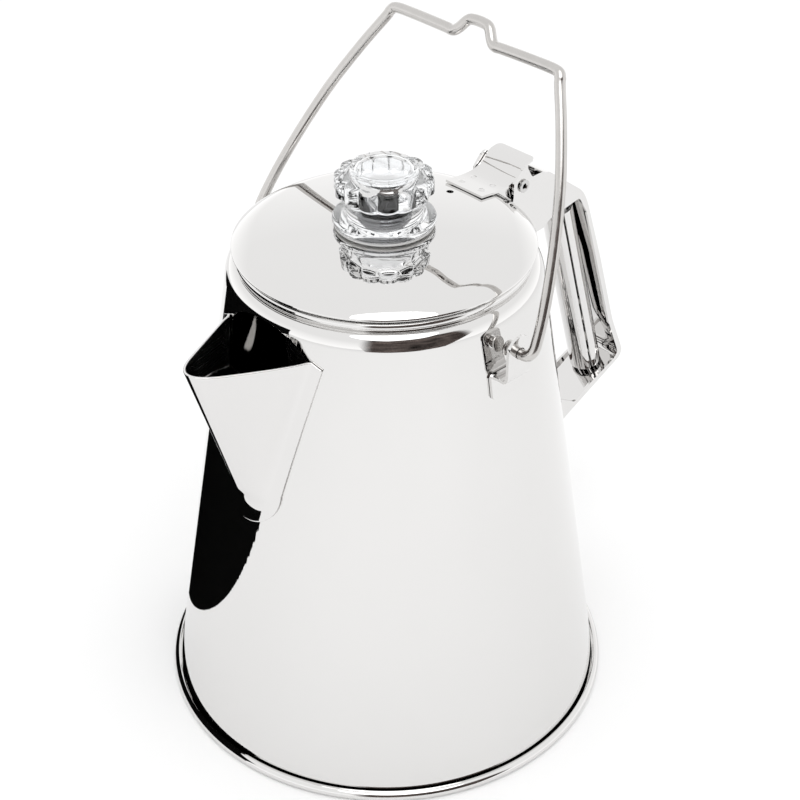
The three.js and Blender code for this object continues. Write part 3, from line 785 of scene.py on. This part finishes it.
def hinge_leaf():
    """Strip along the lid that bends up to a thumb tab, with an ear for the pin on each side."""
    half, sheet = 13.0, 1.2
    seat = 279.05
    bends = [
        (57, 280.5), (63.5, 279.75), (70, 279.1), (76, seat), (80, seat + 0.75), (84, 281.9), (87.5, 285.0),
        (90.5, 286.9), (94, 287.8), (98, 288.2),
    ]
    path = catmull_rom([(x, z, 0) for x, z in bends], 6)
    path = [Vector((p.x, p.y)) for p in path]
    profile = [tuple(p) for p in path] + [tuple(p) for p in reversed(offset_path(path, sheet))]
    leaf = prism("leaf_bent", profile, -half, half, "y")
    corner = 3.2
    plan = [
        (50, -half), *arc(98 - corner, -half + corner, corner, corner, -90, 0, 6),
        *arc(98 - corner, half - corner, corner, corner, 0, 90, 6), (50, half),
    ]
    boolean(leaf, prism("plan", plan, 270, 300, "z"), "INTERSECT")
    under_leaf = [(p.x, p.y + 0.5) for p in path if 76 < p.x < 92.4]
    ear = [*arc(HINGE[0], HINGE[1], 5.2, 5.2, 190, 345, 16), (92.4, HINGE[1] + 3), *reversed(under_leaf)]
    for side in (-1, 1):
        low, high = sorted((side * half, side * (half - sheet)))
        boolean(leaf, prism("ear", ear, low, high, "y"), "UNION")
    boolean(leaf, rod("pin_hole", HINGE, PIN_HOLE_R, -20, 20, "y"))
    bevel(leaf, 0.25, 2, 50)
    dimples = []
    for x, y in ((62.5, -7), (62.5, 7), (71.5, -7), (71.5, 7)):
        outline = [(0, 0.05), (0.7, 0.1), (1.2, 0.32), (1.7, 0.22), (2.1, 0), (0, -0.2)]
        dimple = turned("dimple", outline, 24)
        dimple.data.transform(Matrix.Translation((x * MM, y * MM, (280.5 - (x - 57) * 0.112 + sheet) * MM)))
        dimples.append(dimple)
    return join(leaf, *dimples)


def collar():
    """Threaded collar: a flange under the lid and a helical thread outside."""
    r_in, r_out, flange_r = 12.0, 13.9, COLLAR_HIGH.x
    low, top, pitch, depth = COLLAR_LOW.z, COLLAR_HIGH.z, 2.5, 0.8
    start = low + 3.2
    rows = 60
    thread = [(r_out, start + (top - 0.8 - start) * i / rows) for i in range(rows + 1)]
    outline = [
        (r_in, low), (flange_r, low), (flange_r, low + 1.3), (r_out, low + 1.3), *thread,
        (r_out - 0.6, top), (r_in + 0.5, top), (r_in, top - 0.5),
    ]

    def radius(r, z, a, i):
        if not (4 <= i <= rows + 4):
            return r
        share = ((z / pitch) - a / (2 * math.pi)) % 1.0
        cut = depth * (0.5 - 0.5 * math.cos(2 * math.pi * share))
        fade = min(1.0, (z - start) / 1.2, (top - 0.8 - z) / 1.2)
        return r - cut * max(0.0, fade)

    return turned("collar_threaded", outline, 96, radius)


# ---------------------------------------------------------------- knob
def washer():
    """Ring under the knob with a round outer edge."""
    r_in, r = 14.6, WASHER_HIGH.x
    low, top = WASHER_LOW.z, WASHER_HIGH.z
    middle = (low + top) / 2
    reach = (top - low) / 2
    outer = arc(r - reach, middle, reach, reach, -90, 90, 10)
    inner = arc(r_in + 0.4, middle, 0.4, reach, 90, 270, 6)
    return turned("washer_moulded", [*outer, *inner], 128)


def knob():
    """Clear dome with a scalloped grip ring and a raised top disc."""
    z, top = KNOB_LOW.z, KNOB_HIGH.z
    flange_r, neck_r, lobe_r, valley_r = KNOB_HIGH.x, 19.8, 25.0, 22.6
    ring_low, ring_top = 301.0, 311.0
    lobes = 14
    foot = [
        (flange_r - 1.2, z, 0), (flange_r - 0.4, z + 0.3, 0), (flange_r, z + 1.1, 0), (flange_r, z + 2.0, 0),
        (flange_r - 0.5, z + 2.9, 0), (flange_r - 1.6, z + 3.5, 0), (neck_r + 2.4, z + 4.1, 0),
        (neck_r + 1.0, z + 4.9, 0), (neck_r + 0.2, z + 6.4, 0), (neck_r, z + 8, 0), (neck_r, z + 11, 0),
        (neck_r + 0.6, ring_low - 2.4, 0.1), (neck_r + 1.4, ring_low - 1, 0.35),
    ]
    ring = [
        (valley_r - 0.6, ring_low, 0.7), (valley_r, ring_low + 0.9, 1), (valley_r, ring_low + 3, 1),
        (valley_r, ring_top - 3, 1), (valley_r - 0.2, ring_top - 1.2, 0.95),
        (valley_r - 0.9, ring_top - 0.3, 0.75), (valley_r - 2.0, ring_top + 0.2, 0.45),
    ]
    crown = [
        (18.6, ring_top + 0.5, 0.1), (17.3, ring_top + 1.1, 0), (16.9, ring_top + 2.6, 0),
        (16.5, ring_top + 3.6, 0), (15.6, ring_top + 4.1, 0), (12, ring_top + 4.45, 0),
        (6, ring_top + 4.7, 0), (0, top, 0),
    ]
    bore = 14.4
    inner = [
        (0, top - 3.2, 0), (8, top - 3.3, 0), (12.6, top - 3.7, 0), (14.4, top - 4.6, 0),
        (15.2, top - 6.2, 0), (15.5, top - 9, 0), (15.5, top - 15, 0), (15.3, COLLAR_HIGH.z + 5, 0),
        (bore + 0.5, COLLAR_HIGH.z + 3, 0), (bore, COLLAR_HIGH.z + 1.5, 0), (bore, z + 0.6, 0),
        (bore + 0.6, z, 0),
    ]
    points = [*foot, *ring, *crown, *inner]
    weights = [w for _, _, w in points]

    def radius(r, z_here, a, i):
        return r + weights[i] * (lobe_r - valley_r) * abs(math.cos(lobes * a / 2)) ** 0.8

    return turned("knob_moulded", [(r, h) for r, h, _ in points], 224, radius)


# ---------------------------------------------------------------- pump, basket, spreader
def ring_of_holes(rings, low, high, r):
    """Cutters for rings of holes, each ring given as its radius and count."""
    holes = None
    for ring_r, count in rings:
        for i in range(count):
            a = 2 * math.pi * i / count
            hole = rod("hole", (ring_r * math.cos(a), ring_r * math.sin(a)), r, low, high, "z", 12)
            holes = join(holes, hole) if holes else hole
    return holes


def pump_tube():
    r, bore = TUBE_HIGH.x, 3.2
    low, top = TUBE_LOW.z, TUBE_HIGH.z
    outline = [(bore, low), (r - 0.2, low), (r, low + 0.3), (r, top - 0.3), (r - 0.2, top), (bore, top)]
    return turned("pump_tube_drawn", outline, 48)


def pump_foot():
    """Bell with a neck, and a cross of slots under its edge to let water in."""
    r, sheet, low, rim_z = FOOT_HIGH.x, 1.0, FOOT_LOW.z, 6.5
    neck_in, neck_out, cone_top, neck_top = 4.3, 5.3, 36, FOOT_HIGH.z
    outline = [
        (r - sheet, low), (r, low), (r, rim_z - 1.5), (r - 0.4, rim_z), (r - 2, rim_z + 2.2),
        (neck_out + 1.6, cone_top - 1.4), (neck_out + 0.3, cone_top + 0.4), (neck_out, cone_top + 2),
        (neck_out, neck_top), (neck_in, neck_top), (neck_in, cone_top - 0.8),
        (r - sheet - 1.8, rim_z + 1.2), (r - sheet, rim_z - 1.2),
    ]
    foot = turned("pump_foot_spun", outline, 96)
    for turn in (0, 1):
        long, short = 60, 2.5
        box = [(-long, -short), (long, -short), (long, short), (-long, short)]
        slot = [(y, x) for x, y in box] if turn else box
        boolean(foot, prism("slot", slot, low - 1, low + 1.5, "z"))
    return foot


def stop_collar():
    r, low, top = STOP_HIGH.x, STOP_LOW.z, STOP_HIGH.z
    outline = [(4.3, low), (r - 0.6, low), (r, low + 0.6), (r, top - 0.6), (r - 0.6, top), (4.3, top)]
    return turned("stop_collar_turned", outline, 64)


def basket():
    low_r, top_r, low, sheet, bead = 49.5, 52.5, BASKET_LOW.z, 1.0, 1.5
    top = BASKET_HIGH.z - 2 * bead
    hole = 5.9
    rim = arc(top_r, top + bead, bead, bead, -60, 240, 14)
    outline = [
        (hole, low), (low_r - 3, low), *arc(low_r - 3, low + 3, 3, 3, -80, 0, 6), *rim, (top_r - sheet, top),
        *arc(low_r - 3, low + 3, 2, 2, 0, -80, 5), (hole, low + sheet),
    ]
    cup = turned("basket_drawn", outline, 128)
    return boolean(cup, ring_of_holes([(12, 8), (20, 14), (28, 20), (36, 26)], low - 3, low + 3, 1.1))


def hub():
    low, top = HUB_LOW.z, HUB_HIGH.z
    outline = [(4.4, low), (HUB_HIGH.x, low), (HUB_HIGH.x, top - 0.3), (HUB_HIGH.x - 0.3, top), (4.4, top)]
    return turned("basket_hub_drawn", outline, 48)


def spreader():
    r, z, thick, tube_r, top = SPREADER_HIGH.x, 249.4, 1.0, 5.1, SPREADER_HIGH.z
    low = SPREADER_LOW.z
    outline = [
        (tube_r, low), (30, low), (46, z), (r, z), (r, z + thick), (46, z + thick), (30, low + thick),
        (tube_r + 1.6, low + thick), (tube_r + 1, low + thick + 0.8), (tube_r + 1, top), (tube_r, top),
    ]
    plate = turned("spreader_pressed", outline, 128)
    return boolean(plate, ring_of_holes([(12, 8), (20, 14), (28, 20), (42, 28)], z - 4, z + 4, 1.1))


# ---------------------------------------------------------------- assembly
stand_for(base(), "base_pan", "pot", MIRROR)
stand_for(body(), "body_shell", "pot", MIRROR)
stand_for(spout(), "spout", "pot", FORMED, 50)
stand_for(handle(), "handle_channel", "pot", FORMED)
stand_for(grip("grip_outer_rolled", -108.3, 108.3), "grip_outer_half", "pot", FORMED, 50)
stand_for(grip("grip_inner_rolled", 115.7, 244.3), "grip_inner_half", "pot", FORMED, 50)
stand_for(pin(), "hinge_pin", "pot", HARDWARE)
stand_for(bracket("bracket_near_bent", -1), "bail_bracket_near", "pot", FORMED)
stand_for(bracket("bracket_far_bent", 1), "bail_bracket_far", "pot", FORMED)
stand_for(lid_cap(), "lid_cap", "lid", MIRROR)
stand_for(lid_sleeve(), "lid_sleeve", "lid", SATIN)
stand_for(hinge_leaf(), "lid_hinge_leaf", "lid", FORMED)
stand_for(collar(), "knob_collar", "lid", DARK)
stand_for(washer(), "knob_washer", "knob_seat", SILICONE)
stand_for(knob(), "knob_dome", "knob", CLEAR, 40)
stand_for(bail(), "bail_wire", "bail", WIRE, 50)
stand_for(pump_tube(), "pump_tube", "pump", SATIN)
stand_for(pump_foot(), "pump_foot", "pump", SATIN)
stand_for(stop_collar(), "stop_collar", "pump", SATIN)
stand_for(basket(), "basket_cup", "basket", SATIN)
stand_for(hub(), "basket_hub", "basket", SATIN)
stand_for(spreader(), "spreader", "spreader_lid", SATIN)


# ---------------------------------------------------------------- studio
def floor():
    reach = 4000
    corners = [(-reach, -reach, 0), (reach, -reach, 0), (reach, reach, 0), (-reach, reach, 0)]
    made = new_object("floor", corners, [(0, 1, 2, 3)])
    m = Nodes("floor_white")
    cloud = m.noise(m.coordinates(), 2.0, 2.0)
    m.link(m.colours(cloud, (0.93, 0.93, 0.93), (0.9, 0.9, 0.9)), m.shader.inputs["Base Color"])
    m.shader.inputs["Roughness"].default_value = 0.9
    m.shader.inputs["Specular IOR Level"].default_value = 0.0
    made.data.materials.append(m.material)


def flag(name, rows, dark, light, soft=0.0):
    """Dark studio flag that only the polished metal sees; soft fades it out towards its top and sides."""
    made = grid(name, rows)
    m = Nodes(name)
    place = m.node("ShaderNodeTexCoord").outputs["Generated"]
    split = m.node("ShaderNodeSeparateXYZ", {0: place})
    cloud = m.noise(m.coordinates(), 3.0, 3.0)
    m.link(m.colours(m.spread(cloud, 0.0, 1.0), dark, light), m.shader.inputs["Base Color"])
    m.shader.inputs["Roughness"].default_value = 1.0
    m.shader.inputs["Specular IOR Level"].default_value = 0.0
    if soft:
        clear = m.node("ShaderNodeBsdfTransparent").outputs[0]
        fades = []
        for axis, first, last in (("X", 1.0, 1.0 - soft), ("Z", 1.0, 1.0 - soft), ("X", 0.0, soft)):
            ramp = m.node(
                "ShaderNodeMapRange",
                {"Value": split.outputs[axis], "From Min": first, "From Max": last},
                interpolation_type="SMOOTHSTEP",
            )
            fades.append(ramp.outputs[0])
        both = m.node("ShaderNodeMath", {0: fades[0], 1: fades[1]}, operation="MULTIPLY").outputs[0]
        kept = m.node("ShaderNodeMath", {0: both, 1: fades[2]}, operation="MULTIPLY").outputs[0]
        mixed = m.node("ShaderNodeMixShader", {0: kept, 1: clear, 2: m.shader.outputs[0]})
        m.link(mixed.outputs[0], m.output.inputs["Surface"])
    made.data.materials.append(m.material)
    made.visible_camera = False
    made.visible_diffuse = False
    made.visible_shadow = False
    made.visible_transmission = False


def world():
    """White studio, brightest low down."""
    made = bpy.data.worlds.new("studio")
    bpy.context.scene.world = made
    made.use_nodes = True
    tree = made.node_tree
    tree.nodes.clear()
    output = tree.nodes.new("ShaderNodeOutputWorld")
    background = tree.nodes.new("ShaderNodeBackground")
    place = tree.nodes.new("ShaderNodeTexCoord")
    split = tree.nodes.new("ShaderNodeSeparateXYZ")
    ramp = tree.nodes.new("ShaderNodeValToRGB")
    tree.links.new(place.outputs["Generated"], split.inputs[0])
    tree.links.new(split.outputs["Z"], ramp.inputs[0])
    tree.links.new(ramp.outputs[0], background.inputs["Color"])
    tree.links.new(background.outputs[0], output.inputs["Surface"])
    ramp.color_ramp.elements[0].position = 0.0
    ramp.color_ramp.elements[0].color = (1.0, 1.0, 1.0, 1)
    ramp.color_ramp.elements[1].position = 0.5
    ramp.color_ramp.elements[1].color = (0.8, 0.8, 0.8, 1)
    background.inputs["Strength"].default_value = 1.3


def soft_light(name, place, target, size, power):
    data = bpy.data.lights.new(name, "AREA")
    data.shape = "DISK"
    data.size = size
    data.energy = power
    lamp = bpy.data.objects.new(name, data)
    bpy.context.scene.collection.objects.link(lamp)
    lamp.location = place
    lamp.rotation_mode = "QUATERNION"
    lamp.rotation_quaternion = (Vector(target) - Vector(place)).to_track_quat("-Z", "Y")


def camera():
    data = bpy.data.cameras.new("camera")
    data.lens = 77.6
    data.sensor_width = 36.0
    cam = bpy.data.objects.new("camera", data)
    bpy.context.scene.collection.objects.link(cam)
    look = Vector((0.5725, 0.5889, -0.5704))
    cam.location = Vector((-523.2, -549.4, 702.1)) * MM
    cam.rotation_mode = "QUATERNION"
    cam.rotation_quaternion = look.to_track_quat("-Z", "Y")
    data.clip_start = 0.01
    bpy.context.scene.camera = cam


BLACK = (0.003, 0.003, 0.003)
floor()
world()
camera()
flag("flag_left", [[(-64, 126, 0), (-700, 205, 0)], [(-50, 130, 240), (-700, 205, 420)]], BLACK, BLACK)
flag(
    "flag_front",
    [
        [(-1161, -783, 15), (-111, -1272, 37)],
        [(-1327, -705, 665), (507, -1561, 700)],
        [(-1327, -705, 1760), (507, -1561, 1900)],
    ],
    (0.01, 0.009, 0.008),
    (0.16, 0.13, 0.12),
    0.16,
)
soft_light("soft_top", (-0.4, -0.6, 1.6), (0, 0, 0.15), 1.2, 6)
bpy.context.scene.view_settings.view_transform = "Standard"
